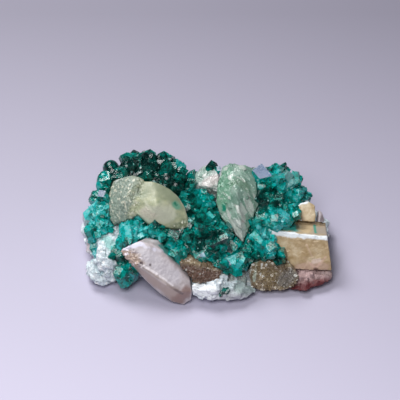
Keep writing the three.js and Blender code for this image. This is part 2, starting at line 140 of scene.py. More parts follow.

# Stains and painted highlights over the crust, in the same form as the stains on the calcite below: a bright
# rim painted along the left edge, painted glints at the front right, and a pale patch at the right back.
CRUST_STAINS_AND_HIGHLIGHTS = [
    ((-29.8, 5.0, 11.4), (-29.6, -0.6, 9.0), 2.2, "#E2F1F5", 0.95),
    ((12.2, -3.2, 11.8), (13.6, -4.2, 11.2), 0.5, "#BDF2EE", 0.8),
    ((17.4, 9.6, 16.0), (19.4, 8.4, 15.2), 1.9, "#CADCDA", 0.5),
]

# Stains and growths inside and on the calcite, with painted light and shade among them where a comment says
# so: a line's two ends and its reach in mm, a colour and how much of it covers what is under it.
LEFT_PAIR_STAINS_AND_GLOW = [
    ((-20.6, 5.1, 17.6), (-22.0, -0.6, 12.4), 4.8, "#98A99C", 0.95),
    ((-10.4, 3.6, 17.2), (-7.4, 1.4, 16.0), 3.0, "#A3AA8E", 0.8),
    ((-15.6, 3.6, 18.0), (-9.4, 2.2, 16.8), 2.7, "#8F9A80", 0.45),
    # The cream lower part is partly the crystal's paler colour and partly a painted glow of light shining
    # through it.
    ((-9.6, -2.2, 15.2), (-14.4, -2.2, 14.8), 2.8, "#DCDEC8", 0.9),
    ((-15.2, -1.8, 15.2), (-13.6, -2.4, 14.6), 1.5, "#DCCBBE", 0.4),
    ((-22.6, 6.4, 17.0), (-20.6, 7.4, 17.4), 0.5, "#DDE3DC", 0.8),
    ((-16.7, 3.4, 17.9), (-17.1, -0.4, 13.2), 0.4, "#717B68", 0.6),
    ((-8.1, 0.1, 15.8), (-7.6, -0.1, 15.5), 1.1, "#6DB79B", 0.85),
    ((-8.2, 0.4, 15.9), (-7.7, 0.1, 15.7), 0.45, "#1F8468", 0.9),
    ((-6.0, -2.6, 12.4), (-7.6, -4.0, 11.9), 1.7, "#9AA386", 0.8),
]
CENTRE_STAINS_AND_GLINTS = [
    ((3.6, 9.0, 17.2), (2.8, 3.0, 15.0), 2.9, "#78B595", 0.7),
    ((6.0, 6.0, 17.4), (8.6, 5.0, 16.6), 1.8, "#7C9A7E", 0.5),
    ((6.2, -3.0, 11.9), (7.6, -5.2, 10.2), 2.4, "#C9CFCC", 0.75),
    ((7.6, -1.4, 13.4), (7.9, -1.8, 13.1), 0.8, "#C9A6A4", 0.6),
    # The pale lines here are painted glints along cleavage cracks.
    ((4.2, -0.5, 12.9), (7.4, -5.2, 10.5), 0.3, "#E9EFE8", 0.95),
    ((7.8, 2.4, 15.1), (10.0, 0.0, 12.8), 0.75, "#D9E2DA", 0.85),
    ((8.6, 3.7, 15.8), (10.2, 1.6, 13.7), 0.3, "#E3ECE4", 0.9),
    ((5.9, 0.7, 15.0), (7.1, -1.0, 13.9), 0.55, "#D5DFD6", 0.85),
    ((4.6, 8.6, 17.4), (5.8, 8.0, 17.4), 0.4, "#E3EDE4", 0.8),
    ((6.4, 7.4, 17.4), (8.0, 6.6, 17.2), 0.45, "#DCE7DC", 0.8),
    ((3.3, 0.9, 13.5), (3.4, 1.7, 13.8), 0.7, "#0F9D7F", 0.9),
]
BACK_STAINS = [
    ((-0.6, 8.6, 14.6), (1.0, 9.2, 15.0), 1.7, "#E2D8D6", 0.85),
    ((-3.0, 11.0, 14.4), (-1.0, 12.0, 15.0), 1.8, "#9DBDB0", 0.7),
]
PRISM_STAINS_LIGHT_AND_SHADE = [
    ((-15.6, -14.0, 8.6), (-8.6, -17.0, 3.4), 2.2, "#AE9C94", 0.9),
    ((-15.0, -11.7, 10.9), (-8.6, -14.2, 6.8), 2.6, "#C6C1C9", 0.65),
    ((-11.0, -8.6, 10.6), (-5.4, -11.2, 8.0), 1.5, "#2C7A74", 0.85),
    ((-20.6, -10.8, 11.5), (-17.0, -12.9, 10.2), 1.9, "#B59F90", 0.85),
    # The pale lines along the top edge are a painted highlight.
    ((-19.8, -10.2, 12.1), (-16.0, -9.3, 12.2), 0.8, "#DEDCEE", 0.9),
    ((-16.0, -9.3, 12.2), (-11.6, -10.0, 10.6), 0.8, "#DEDCEE", 0.9),
    ((-7.4, -17.4, 1.8), (-5.4, -16.4, 4.0), 1.8, "#8A6D66", 0.75),
    ((-16.4, -13.5, 9.5), (-6.3, -17.0, 3.7), 0.42, "#6F605E", 0.8),
    ((-16.3, -13.1, 9.9), (-12.2, -14.5, 7.9), 0.32, "#F6F0F4", 0.6),
    ((-11.6, -14.8, 7.6), (-8.6, -16.0, 5.6), 0.28, "#F6F0F4", 0.5),
    # The two dark dots are painted shade in small pits.
    ((-15.9, -13.0, 10.0), (-15.8, -13.0, 10.0), 0.45, "#43343A", 0.9),
    ((-13.8, -13.1, 9.4), (-13.8, -13.1, 9.4), 0.4, "#4B3C40", 0.9),
]
RHOMB_STAINS_AND_HIGHLIGHTS = [
    ((19.0, -9.6, 4.2), (28.0, -9.6, 4.2), 1.6, "#8E7052", 0.6),
    ((20.0, -1.6, 9.8), (27.0, -2.0, 9.4), 3.0, "#A89D90", 0.8),
    ((14.0, -1.2, 10.6), (19.2, -1.2, 10.2), 2.6, "#17988E", 0.97),
    ((20.6, -2.0, 9.9), (20.6, 0.4, 9.2), 0.6, "#5E5040", 0.8),
    ((22.4, -2.4, 9.8), (22.6, 0.6, 9.0), 1.9, "#C6B08C", 0.95),
    ((24.6, -3.6, 9.9), (24.6, 0.6, 8.6), 0.35, "#2A9A86", 0.9),
    # The white bands along the top and down the left edge are painted highlights.
    ((13.6, -4.1, 11.0), (19.4, -4.6, 10.7), 1.1, "#F2F8FC", 0.97),
    ((13.6, -4.4, 10.9), (27.3, -5.3, 10.3), 0.75, "#EEF4F8", 0.97),
    ((13.6, -4.6, 10.4), (18.9, -10.3, 3.6), 0.4, "#E4F0F0", 0.85),
    ((20.6, -9.4, 4.6), (26.6, -9.3, 4.6), 1.3, "#C3A592", 0.6),
    ((24.6, -9.5, 4.4), (21.4, -7.8, 6.6), 0.35, "#D9B3A6", 0.45),
    ((24.6, -9.5, 4.4), (26.9, -8.0, 6.6), 0.35, "#D9B3A6", 0.45),
    ((23.8, -7.9, 6.6), (22.4, -6.2, 8.8), 0.35, "#DCC0AC", 0.4),
    ((24.0, -8.6, 5.6), (25.4, -8.4, 5.9), 0.6, "#E6CFC6", 0.6),
    ((24.7, -9.7, 4.0), (24.8, -9.8, 3.9), 0.7, "#4A2A20", 0.95),
]
TOOTH_STAINS_LIGHT_AND_SHADE = [
    # The darker brown on the left is painted shade in the hollow of the broken tooth.
    ((20.6, 2.6, 11.0), (21.4, 1.4, 9.6), 1.1, "#83674C", 0.65),
    # The white rims along the top and down the left are painted highlights.
    ((20.0, 3.9, 12.4), (22.6, 4.3, 12.9), 0.9, "#EDF2F8", 0.95),
    ((20.0, 3.9, 12.2), (19.9, 2.3, 10.8), 0.6, "#DCE3E6", 0.9),
    ((24.0, 1.2, 9.4), (24.2, 3.6, 11.6), 0.4, "#1A8F7A", 0.9),
]
BROWN_STAINS = [
    ((11.5, -11.0, 5.0), (14.0, -12.0, 4.2), 2.8, "#93805C", 0.6),
    ((17.4, -12.6, 3.6), (18.8, -11.4, 4.0), 2.2, "#918B84", 0.75),
    ((-5.4, -12.6, 6.4), (3.4, -13.4, 4.6), 2.6, "#7E5F54", 0.75),
    ((10.8, -9.6, 6.6), (10.2, -12.6, 3.4), 0.5, "#C9D6C6", 0.8),
]
ROCK_STAINS_AND_SHADE = [
    ((-24.6, -4.6, 10.2), (-22.4, -7.6, 8.6), 1.7, "#74C6BF", 0.6),
    ((-27.0, -7.0, 5.0), (-25.5, -10.0, 4.0), 1.6, "#9CC9CC", 0.5),
    ((-28.5, -3.8, 5.0), (-28.2, -2.6, 8.0), 1.8, "#B39CA2", 0.7),
    ((-16.0, -14.0, 3.4), (-13.0, -15.0, 2.6), 2.6, "#847B78", 0.8),
    ((1.0, -17.2, 1.4), (9.0, -16.6, 1.8), 2.6, "#BCBEC4", 0.9),
    ((-4.0, -16.6, 4.4), (0.6, -16.8, 3.6), 2.6, "#F4F8FC", 0.9),
    ((7.0, -15.0, 4.0), (10.0, -14.5, 3.4), 2.2, "#8FA39F", 0.7),
    ((-27.6, -3.4, 7.8), (-26.9, -7.2, 6.8), 1.4, "#15A7A8", 0.9),
    ((15.0, -12.0, 2.6), (29.0, -8.0, 3.0), 5.0, "#AD8F8E", 0.9),
    ((27.0, -9.4, 2.9), (29.4, -8.4, 2.9), 1.3, "#C4AEAB", 0.7),
    # The dark brown patch low at the front right is painted shade.
    ((16.0, -14.0, 1.6), (19.0, -13.0, 2.4), 1.8, "#54403E", 0.8),
    ((16.0, -14.6, 1.4), (27.5, -12.4, 1.8), 2.0, "#60191F", 0.95),
]


def linear(hex_colour):
    """An sRGB hex value as a linear colour."""
    shares = [int(hex_colour[i : i + 2], 16) / 255 for i in (1, 3, 5)]
    return (*[s / 12.92 if s <= 0.04045 else ((s + 0.055) / 1.055) ** 2.4 for s in shares], 1.0)


def add(tree, kind, settings=None, inputs=(), stops=()):
    """Adds a node with its settings, and sets each input to a value or links it to an output. The inputs
    are a list in the node's order, or a dictionary by their names or numbers."""
    node = tree.nodes.new(kind)
    for name, value in (settings or {}).items():
        setattr(node, name, value)
    for key, value in inputs.items() if isinstance(inputs, dict) else enumerate(inputs):
        if isinstance(value, bpy.types.NodeSocket):
            tree.links.new(value, node.inputs[key])
        else:
            node.inputs[key].default_value = value
    for number, (position, colour) in enumerate(stops):
        points = node.color_ramp.elements
        point = points[number] if number < len(points) else points.new(position)
        point.position = position
        point.color = linear(colour)
    return node


# Patterns and finishes


def new_material(name, ior, roughness=0.5, clear=0.0):
    """A material, clear by a share, with the Object coordinates that its patterns follow."""
    material = bpy.data.materials.new(name)
    material.use_nodes = True
    tree = material.node_tree
    tree.nodes.clear()
    values = {"IOR": ior, "Roughness": roughness, "Transmission Weight": clear}
    shader = add(tree, "ShaderNodeBsdfPrincipled", inputs=values)
    add(tree, "ShaderNodeOutputMaterial", inputs={"Surface": shader.outputs[0]})
    place = add(tree, "ShaderNodeTexCoord").outputs["Object"]
    return material, tree, shader, place


def clouds(tree, place, size, detail=3.0, roughness=0.6):
    """Cloudy patches, from 0 to 1, about size metres across."""
    inputs = {"Vector": place, "Scale": 1 / size, "Detail": detail, "Roughness": roughness}
    return add(tree, "ShaderNodeTexNoise", inputs=inputs).outputs["Fac"]


def grains(tree, place, size):
    """Grains size metres across, each with a value of its own from 0 to 1."""
    cells = add(tree, "ShaderNodeTexVoronoi", inputs={"Vector": place, "Scale": 1 / size})
    return add(tree, "ShaderNodeSeparateColor", inputs={0: cells.outputs["Color"]}).outputs[0]


def glinting_cracks(tree, place, size, width, patch):
    """Thin wandering lines, about size metres apart, that come and go in patches."""
    cloud = clouds(tree, place, size, 2, 0.5)
    off = add(tree, "ShaderNodeMath", {"operation": "SUBTRACT"}, {0: cloud, 1: 0.5}).outputs[0]
    off = add(tree, "ShaderNodeMath", {"operation": "ABSOLUTE"}, {0: off}).outputs[0]
    line = add(tree, "ShaderNodeMapRange", inputs={0: off, 1: width, 2: width / 3}).outputs[0]
    where = {0: clouds(tree, place, patch), 1: 0.48, 2: 0.6}
    where = add(tree, "ShaderNodeMapRange", inputs=where).outputs[0]
    return add(tree, "ShaderNodeMath", {"operation": "MULTIPLY"}, {0: line, 1: where}).outputs[0]


def layered(tree, colour, layers):
    """Lays colours over one another, each where its pattern goes from a low to a high value."""
    for pattern, low, high, over in layers:
        smooth = {"interpolation_type": "SMOOTHSTEP"}
        share = add(tree, "ShaderNodeMapRange", smooth, {0: pattern, 1: low, 2: high}).outputs[0]
        colour = add(tree, "ShaderNodeMix", {"data_type": "RGBA"}, {0: share, 6: colour, 7: over}).outputs[2]
    return colour


def under_stains_and_painted_light(tree, colour):
    """A colour under the piece's own stains and the light and shade painted with them."""
    stain_and_light = add(tree, "ShaderNodeAttribute", {"attribute_name": "stain_and_light"}).outputs
    return layered(tree, colour, [(stain_and_light["Alpha"], 0, 1, stain_and_light["Color"])])


def relief(tree, shader, height, depth):
    """Fine relief, depth metres deep, too fine for the mesh."""
    node = add(tree, "ShaderNodeBump", inputs={"Height": height, "Distance": depth, "Strength": 1.0})
    tree.links.new(node.outputs[0], shader.inputs["Normal"])


def clear_within(tree, colour, density):
    """Makes the inside see-through and tinted, stronger the further light goes through it."""
    output = next(n for n in tree.nodes if n.type == "OUTPUT_MATERIAL")
    inside = add(tree, "ShaderNodeVolumeAbsorption", inputs={"Color": linear(colour), "Density": density})
    tree.links.new(inside.outputs[0], output.inputs["Volume"])


def dioptase_gem():
    """Dioptase: glassy emerald to teal crystal, see-through where thin, with fine healed cracks and flecks
    inside that are painted bright as glints.
    """
    material, tree, shader, place = new_material(
        "Dioptase, glassy emerald", ior=1.55, roughness=0.12, clear=0.55
    )
    facing = add(tree, "ShaderNodeNewGeometry").outputs["True Normal"]
    tone = add(tree, "ShaderNodeAttribute", {"attribute_name": "tone"}).outputs["Fac"]
    # The tone of a place is its own, made uneven by these patterns and their weights: cloudy and finer
    # flecks within the crystals, facets too small to model, and the way each face looks.
    shares = [
        (clouds(tree, place, 2.5 * MM), 1.0),
        (clouds(tree, place, 0.7 * MM, 4, 0.75), 0.6),
        (grains(tree, place, 0.55 * MM), 0.26),
        (grains(tree, place, 1.5 * MM), 0.26),
        (grains(tree, facing, 0.3), 0.3),
    ]
    for share, weight in shares:
        even = add(tree, "ShaderNodeMath", {"operation": "SUBTRACT"}, {0: share, 1: 0.5}).outputs[0]
        sum_up = {"operation": "MULTIPLY_ADD"}
        tone = add(tree, "ShaderNodeMath", sum_up, {0: even, 1: weight, 2: tone}).outputs[0]
    stops = [
        (0.0, "#002F2C"),
        (0.2, "#004F48"),
        (0.4, "#008E7E"),
        (0.58, "#00BFB4"),
        (0.76, "#00E4E4"),
        (1.0, "#8CFAFC"),
    ]
    colour = add(tree, "ShaderNodeValToRGB", inputs={"Fac": tone}, stops=stops).outputs["Color"]
    # Cracks and glints are drawn a few times wider than real ones, so that they show. Both are painted
    # glints: pale lines where light catches the healed cracks, and pale flecks.
    crack_glints = glinting_cracks(tree, place, 1.1 * MM, 0.013, 2.2 * MM)
    glints = grains(tree, place, 0.4 * MM)
    layers = [(crack_glints, 0.1, 1.3, linear("#4FDCCC")), (glints, 0.98, 0.99, linear("#B4F4EE"))]
    colour = layered(tree, colour, layers)
    tree.links.new(under_stains_and_painted_light(tree, colour), shader.inputs["Base Color"])
    relief(tree, shader, clouds(tree, place, 0.45 * MM, 3), 0.1 * MM)
    clear_within(tree, "#2FC9AE", 130)
    return material


def calcite_stone():
    """Massive calcite: sugary white cleavage grains, with grey, pink and iron-red stains, and shade painted
    into its pits.
    """
    material, tree, shader, place = new_material("Massive calcite, sugary white", ior=1.55)
    cloud = clouds(tree, place, 3.2 * MM, 5, 0.65)
    # Grit and grains are drawn coarser than real ones, so that they show.
    grit_and_pit_shade = clouds(tree, place, 0.5 * MM, 4, 0.75)
    stops = [(0.3, "#B4C4CA"), (0.45, "#D2DEE4"), (0.6, "#E3ECF2"), (0.75, "#F1F6FA")]
    colour = add(tree, "ShaderNodeValToRGB", inputs={"Fac": cloud}, stops=stops).outputs["Color"]
    grain = grains(tree, place, 0.6 * MM)
    # Blue-grey shade is painted where the grit is low, in its pits.
    layers = [(grit_and_pit_shade, 0.5, 0.25, linear("#8FA0A6")), (grain, 0.8, 1.0, linear("#FFFFFF"))]
    colour = under_stains_and_painted_light(tree, layered(tree, colour, layers))
    # Darker grey shade is painted in the deepest pits, over the stains.
    colour = layered(tree, colour, [(grit_and_pit_shade, 0.46, 0.2, linear("#5E6468"))])
    tree.links.new(colour, shader.inputs["Base Color"])
    relief(tree, shader, grit_and_pit_shade, 0.2 * MM)
    return material


def calcite_crystal(name, stops, edge, roughness, crack_glint_share, clear=0.0, inside=None):
    """A calcite crystal: waxy to glassy, cloudy within, with shade painted in its pits, painted glints on
    chips and along cracks, and pale bruised edges that are partly a painted highlight.
    """
    material, tree, shader, place = new_material(name, ior=1.6, clear=clear)
    cloud = clouds(tree, place, 2.6 * MM, 5, 0.66)
    # Grit and cracks are drawn coarser than real ones, so that they show.
    grit_and_pit_shade = clouds(tree, place, 0.45 * MM, 4, 0.75)
    colour = add(tree, "ShaderNodeValToRGB", inputs={"Fac": cloud}, stops=stops).outputs["Color"]
    colour = under_stains_and_painted_light(tree, colour)
    rim = add(tree, "ShaderNodeAttribute", {"attribute_name": "rim"}).outputs["Fac"]
    glint = add(tree, "ShaderNodeAttribute", {"attribute_name": "glint"}).outputs["Fac"]
    pale = linear(edge)
    crack_glints = glinting_cracks(tree, place, 1.3 * MM, 0.022, 2.2 * MM)
    # Over the stains go shade painted in the grit's pits, pale bruised edges that are partly a painted
    # highlight, painted glints on chips, and painted glints along the cracks.
    layers = [
        (grit_and_pit_shade, 0.48, 0.1, linear(stops[0][1])),
        (rim, 0.1, 1.2, pale),
        (glint, 0.2, 1.1, pale),
        (crack_glints, 0.1, 1.1 / crack_glint_share, pale),
    ]
    tree.links.new(layered(tree, colour, layers), shader.inputs["Base Color"])
    # Gritty places are duller.
    gloss = [grit_and_pit_shade, 0.35, 0.7, roughness, roughness + 0.22]
    tree.links.new(add(tree, "ShaderNodeMapRange", inputs=gloss).outputs[0], shader.inputs["Roughness"])
    relief(tree, shader, grit_and_pit_shade, 0.06 * MM)
    if inside:
        clear_within(tree, *inside)
    return material


# Meshes


def placed(name, mesh):
    """A mesh as an object at the origin."""
    piece = bpy.data.objects.new(name, mesh)
    bpy.context.scene.collection.objects.link(piece)
    return piece


def evaluated_mesh(piece):
    """What an object's modifiers make of its mesh. The object itself is removed."""
    graph = bpy.context.evaluated_depsgraph_get()
    mesh = bpy.data.meshes.new_from_object(piece.evaluated_get(graph))
    bpy.data.objects.remove(piece)
    return mesh


def cad_copy(node):
    """A copy of a CAD node's mesh whose loose triangles are joined."""
    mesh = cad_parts[node].data.copy()
    mesh.materials.clear()
    work = bmesh.new()
    work.from_mesh(mesh)
    bmesh.ops.remove_doubles(work, verts=work.verts, dist=SAME_POINT)
    bmesh.ops.dissolve_limit(work, angle_limit=math.radians(0.5), verts=work.verts, edges=work.edges)
    bmesh.ops.triangulate(work, faces=work.faces)
    work.to_mesh(mesh)
    work.free()
    return mesh


def even_skin(mesh, voxel):
    """The same form with an even skin of small faces."""
    piece = placed("skin", mesh)
    modifier = piece.modifiers.new("Skin", "REMESH")
    modifier.mode = "VOXEL"
    modifier.voxel_size = voxel
    return evaluated_mesh(piece)


def vectors_of(items, name):
    """A vector that each of a mesh's items has, as rows."""
    vectors = np.empty(len(items) * 3, np.float32)
    items.foreach_get(name, vectors)
    return vectors.reshape(-1, 3).astype(float)


def points_of(mesh):
    """A mesh's points, as rows."""
    return vectors_of(mesh.vertices, "co")


def set_points(mesh, points):
    """Moves a mesh's points."""
    mesh.vertices.foreach_set("co", points.astype(np.float32).ravel())
    mesh.update()


def set_attribute(mesh, name, values, domain="POINT"):
    """Gives each point or face of a mesh a value."""
    attribute = mesh.attributes.new(name, "FLOAT", domain)
    attribute.data.foreach_set("value", np.asarray(values, np.float32))


def neighbour_sums(mesh, values):
    """At each point of a mesh, the sum of its neighbours' values."""
    ends = np.empty(len(mesh.edges) * 2, np.int32)
    mesh.edges.foreach_get("vertices", ends)
    ends = ends.reshape(-1, 2)
    sums = np.zeros_like(values)
    for one, other in ((0, 1), (1, 0)):
        np.add.at(sums, ends[:, one], values[ends[:, other]])
    return sums


def cloud_at(points, size, octaves=4, turn=0.0):
    """Cloudy noise, about -1 to 1, at points, with patches size metres across."""
    start = Vector((turn, 2 * turn, -turn))
    return np.array([noise.fractal(Vector(p) / size + start, 1.0, 2.0, octaves) for p in points])


def rising(values, low, high):
    """0 below low, 1 above high, and smooth between them."""
    share = np.clip((values - low) / (high - low), 0, 1)
    return share * share * (3 - 2 * share)


def sharp_edges(mesh):
    """The ends of each edge where two faces meet sharply."""
    least = math.radians(50)
    work = bmesh.new()
    work.from_mesh(mesh)
    ends = [[v.co[:] for v in e.verts] for e in work.edges if e.is_manifold and e.calc_face_angle(0) > least]
    work.free()
    return np.array(ends, float)


def from_line(points, start, end):
    """How far each point is from a straight line between two ends."""
    start, along = np.array(start), np.subtract(end, start)
    share = np.clip((points - start) @ along / max(along @ along, SAME_POINT**2), 0, 1)
    return np.linalg.norm(points - start - share[:, None] * along, axis=1)


def near_line(points, start, end, inner, outer):
    """1 within an inner distance of a straight line and 0 beyond an outer one."""
    return 1 - rising(from_line(points, start, end), inner, outer)


def stained_and_painted(mesh, stains_and_light, domain="POINT"):
    """Gives a mesh its stain_and_light attribute: the colour of the stains and of the light and shade painted
    with them, and how much they cover.
    """
    points = points_of(mesh) if domain == "POINT" else vectors_of(mesh.polygons, "center")
    # A stain's edge wanders, and it fades out there.
    uneven = 1 + 0.3 * cloud_at(points, 1.4 * MM, 4, 9.0)
    colour, cover = np.zeros((len(points), 3)), np.zeros(len(points))
    for start, end, reach, tint, most in stains_and_light:
        away = from_line(points / MM, start, end) * uneven / reach
        share = most * (1 - rising(away, 0.45, 1.15))
        total = share + cover * (1 - share)
        part = (share / np.maximum(total, 1e-6))[:, None]
        colour = colour + (np.array(linear(tint)[:3]) - colour) * part
        cover = total
    attribute = mesh.attributes.new("stain_and_light", "FLOAT_COLOR", domain)
    attribute.data.foreach_set("color", np.column_stack([colour, cover]).astype(np.float32).ravel())


def cleavage_planes(turn):
    """The normals of a calcite crystal's three cleavage planes, turned by Euler angles in degrees."""
    lean = math.acos(math.sqrt((1 + 2 * math.cos(CLEAVAGE_ANGLE)) / 3))
    turned = Euler([math.radians(angle) for angle in turn]).to_matrix()
    around = [k * WHOLE_TURN / 3 for k in range(3)]
    ways = [(math.sin(lean) * math.cos(a), math.sin(lean) * math.sin(a), math.cos(lean)) for a in around]
    return np.array([turned @ Vector(way) for way in ways], float)


def cleaved(points, planes, step, hardness=3.0, wander=0.8):
    """Points drawn to the treads of cleavage steps, as on a broken surface."""
    along = points @ planes.T
    shift = np.stack([cloud_at(points, 6 * step, 3, 7.0 * k) for k in range(3)], 1) * wander * step
    level = (along + shift) / step
    part = level - np.floor(level)
    tread = np.clip((part - 0.5) * hardness + 0.5, 0, 1)
    return ((np.floor(level) + tread) * step - shift) @ np.linalg.inv(planes).T


def chipped(mesh, share, size, depth, bright=0.1, way=(0, 0, 1), longer=1.0):
    """Breaks a share of a surface into chips, small planes that lean their own ways, longer one way,
    and gives the mesh its glint attribute, which is 1 on the chips that catch the light."""
    points, normals = points_of(mesh), vectors_of(mesh.vertex_normals, "vector")
    way = np.array(way) / np.linalg.norm(way)
    squeezed = points - np.outer(points @ way, way) * (1 - 1 / longer)
    chance = np.random.default_rng(1)
    low, high = squeezed.min(0), squeezed.max(0)
    count = int(np.prod((high - low) / size)) + 1
    middles = low + chance.random((count, 3)) * (high - low)
    tree = kdtree.KDTree(count)
    for number, middle in enumerate(middles):
        tree.insert(middle, number)
    tree.balance()
    nearest = np.array([tree.find(point)[1] for point in squeezed])
    lean, lift = chance.normal(size=(count, 3)), chance.uniform(-0.5, 0.5, count)
    height = ((squeezed - middles[nearest]) * lean[nearest]).sum(1) / size + lift[nearest]
    height = np.clip(height, -1, 1) * depth * share
    set_points(mesh, points + normals * height[:, None])
    set_attribute(mesh, "glint", (chance.random(count) < bright)[nearest] * share)


def finished(name, mesh, material, node):
    """Makes a mesh a piece in place of a CAD node."""
    mesh.materials.clear()
    mesh.materials.append(material)
    piece = placed(name, mesh)
    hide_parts(node)
    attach(piece, "root")


# The druse


def druse_tree():
    """Geometry Nodes that stand leaning dioptase crystals, deep in a bed, wherever it has room."""
    tree = bpy.data.node_groups.new("Druse", "GeometryNodeTree")
    given = [
        ("Bed", "Geometry", None),
        ("Spacing", "Float", 1.9 * MM),
        ("Smallest", "Float", 0.7 * MM),
        ("Largest", "Float", 1.5 * MM),
        ("Least sunk", "Float", 0.7),
        ("Most sunk", "Float", 0.9),
        ("Lean", "Float", 0.6),
        ("Uneven", "Float", 1.1 * MM),
        ("Seed", "Int", 5),
        ("Finish", "Material", None),
    ]
    for name, kind, value in given:
        socket = tree.interface.new_socket(name, in_out="INPUT", socket_type="NodeSocket" + kind)
        if value is not None:
            socket.default_value = value
    tree.interface.new_socket("Crystals", in_out="OUTPUT", socket_type="NodeSocketGeometry")
    size = add(tree, "NodeGroupInput").outputs

    # A six-sided prism, one unit in radius, whose upper ring is lowered to the cap's three faces.
    size_of_prism = {"Vertices": 6, "Radius": 1.0, "Depth": CRYSTAL_LENGTH}
    prism = add(tree, "GeometryNodeMeshCylinder", {"fill_type": "TRIANGLE_FAN"}, size_of_prism).outputs[0]
    index = add(tree, "GeometryNodeInputIndex").outputs[0]
    odd = add(tree, "ShaderNodeMath", {"operation": "MODULO"}, [index, 2.0]).outputs[0]
    drop = [odd, -CAP_DEPTH / 2, -CAP_DEPTH / 2]
    drop = add(tree, "ShaderNodeMath", {"operation": "MULTIPLY_ADD"}, drop).outputs[0]
    # Points 1 to 6 are the upper ring.
    on_ring = add(tree, "ShaderNodeMath", {"operation": "COMPARE"}, [index, 3.5, 2.6]).outputs[0]
    drop = add(tree, "ShaderNodeMath", {"operation": "MULTIPLY"}, [drop, on_ring]).outputs[0]
    lowered = add(tree, "ShaderNodeCombineXYZ", inputs={"Z": drop}).outputs[0]
    crystal = add(tree, "GeometryNodeSetPosition", inputs={0: prism, "Offset": lowered}).outputs[0]

    # More points are tried than the spacing leaves room for, so that the bed is full.
    per_area = add(tree, "ShaderNodeMath", {"operation": "POWER"}, [size["Spacing"], -2.0]).outputs[0]
    tried = add(tree, "ShaderNodeMath", {"operation": "MULTIPLY"}, [per_area, 4.0]).outputs[0]
    room = add(tree, "GeometryNodeInputNamedAttribute", {"data_type": "FLOAT"}, {"Name": "room"})
    scatter = {
        "Mesh": size["Bed"],
        "Distance Min": size["Spacing"],
        "Density Max": tried,
        "Density Factor": room.outputs["Attribute"],
        "Seed": size["Seed"],
    }
    apart = {"distribute_method": "POISSON"}
    spread = add(tree, "GeometryNodeDistributePointsOnFaces", apart, scatter).outputs[0]

    # Each crystal's own random numbers, for its roll, its size, how far it is sunk and its tone.
    own = []
    for seed, most in ((2, WHOLE_TURN), (3, 1.0), (4, 1.0), (6, 1.0)):
        inputs = {2: 0.0, 3: most, "Seed": seed}
        own.append(add(tree, "FunctionNodeRandomValue", {"data_type": "FLOAT"}, inputs).outputs[1])
    own_roll, own_size, own_depth, own_tone = own

    outwards = add(tree, "GeometryNodeInputNamedAttribute", {"data_type": "FLOAT_VECTOR"}, {"Name": "way"})
    anyhow = add(tree, "FunctionNodeRandomValue", {"data_type": "FLOAT_VECTOR"}, {0: (-1, -1, -1), "Seed": 1})
    stray = {0: anyhow.outputs[0], "Scale": size["Lean"]}
    stray = add(tree, "ShaderNodeVectorMath", {"operation": "SCALE"}, stray).outputs[0]
    way = [outwards.outputs["Attribute"], stray]
    way = add(tree, "ShaderNodeVectorMath", {"operation": "ADD"}, way).outputs[0]
    way = add(tree, "ShaderNodeVectorMath", {"operation": "NORMALIZE"}, [way]).outputs[0]
    upright = add(tree, "FunctionNodeAlignRotationToVector", {"axis": "Z"}, {"Vector": way}).outputs[0]
    roll = add(tree, "FunctionNodeAxisAngleToRotation", inputs=[(0, 0, 1), own_roll]).outputs[0]
    turned = add(tree, "FunctionNodeRotateRotation", {"rotation_space": "LOCAL"}, [upright, roll]).outputs[0]
    # Most crystals are small and a few are large.
    rank = add(tree, "ShaderNodeMath", {"operation": "POWER"}, [own_size, 1.6]).outputs[0]
    radius = [rank, 0.0, 1.0, size["Smallest"], size["Largest"]]
    radius = add(tree, "ShaderNodeMapRange", inputs=radius).outputs[0]
    sunk = [own_depth, 0.0, 1.0, size["Least sunk"], size["Most sunk"]]
    sunk = add(tree, "ShaderNodeMapRange", inputs=sunk).outputs[0]
    out = add(tree, "ShaderNodeMath", {"operation": "SUBTRACT"}, [0.5, sunk]).outputs[0]
    for times in (radius, CRYSTAL_LENGTH):
        out = add(tree, "ShaderNodeMath", {"operation": "MULTIPLY"}, [out, times]).outputs[0]
    offset = add(tree, "ShaderNodeVectorMath", {"operation": "SCALE"}, {0: way, "Scale": out}).outputs[0]
    feet = add(tree, "GeometryNodeSetPosition", inputs={0: spread, "Offset": offset}).outputs[0]
    stood = {"Points": feet, "Instance": crystal, "Rotation": turned, "Scale": radius}
    stood = add(tree, "GeometryNodeInstanceOnPoints", inputs=stood).outputs[0]
    toned = {0: stood, "Name": "chance", "Value": own_tone}
    toned = add(tree, "GeometryNodeStoreNamedAttribute", {"domain": "INSTANCE"}, toned).outputs[0]
    mesh = add(tree, "GeometryNodeRealizeInstances", inputs=[toned]).outputs[0]
    # Each corner is moved a little, because no two real crystals are alike.
    wander = {"Scale": 1 / (1.2 * MM), "Detail": 1.0}
    wander = add(tree, "ShaderNodeTexNoise", inputs=wander).outputs["Color"]
    even = [wander, (0.5, 0.5, 0.5)]
    even = add(tree, "ShaderNodeVectorMath", {"operation": "SUBTRACT"}, even).outputs[0]
    moved = add(tree, "ShaderNodeVectorMath", {"operation": "SCALE"}, {0: even, "Scale": size["Uneven"]})
    mesh = add(tree, "GeometryNodeSetPosition", inputs={0: mesh, "Offset": moved.outputs[0]}).outputs[0]
    coated = add(tree, "GeometryNodeSetMaterial", inputs={0: mesh, "Material": size["Finish"]}).outputs[0]
    add(tree, "NodeGroupOutput", inputs=[coated])
    return tree


def grown(tree, bed, sizes):
    """What a tree grows on a bed, as a plain mesh."""
    piece = placed("bed", bed)
    modifier = piece.modifiers.new("Druse", "NODES")
    modifier.node_group = tree
    for socket in tree.interface.items_tree:
        if socket.name in sizes:
            modifier[socket.identifier] = sizes[socket.name]
    return evaluated_mesh(piece)


